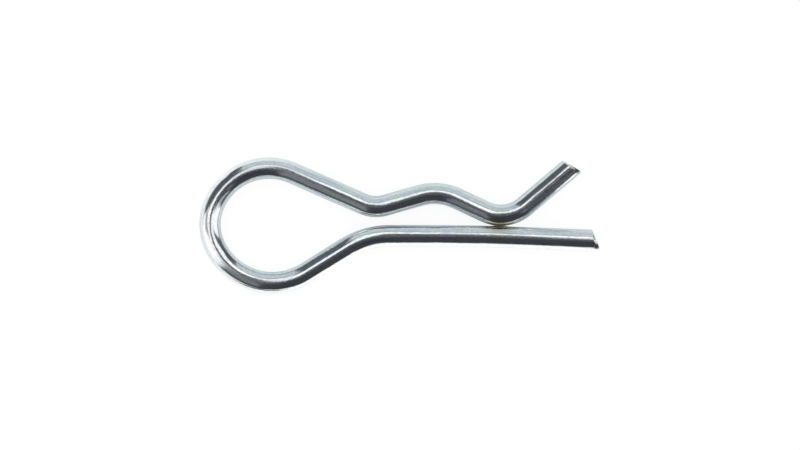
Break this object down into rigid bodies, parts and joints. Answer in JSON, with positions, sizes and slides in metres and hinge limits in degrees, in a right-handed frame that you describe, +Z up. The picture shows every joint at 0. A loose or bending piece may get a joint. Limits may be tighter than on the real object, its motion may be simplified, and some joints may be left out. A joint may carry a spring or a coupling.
{
  "type": "hitch r clip",
  "caption": "Spring clip bent from round wire, with a loop, a straight leg that goes through a shaft's cross hole and a wavy leg that grips the shaft from outside.",
  "frame": {"origin": "centre of the clip's outline, on the surface that it lies on", "axes": "+X from the loop towards the cut ends, +Y from the straight leg towards the grip leg, +Z up, square to the flat clip"},
  "size_m": [0.0752, 0.0254, 0.004],
  "materials": {
    "zinc_plated_wire": "bright zinc plate over drawn spring wire, with fine draw lines along it"
  },
  "bodies": {
    "root": {"spring_clip": "zinc_plated_wire"}
  },
  "joints": []
}
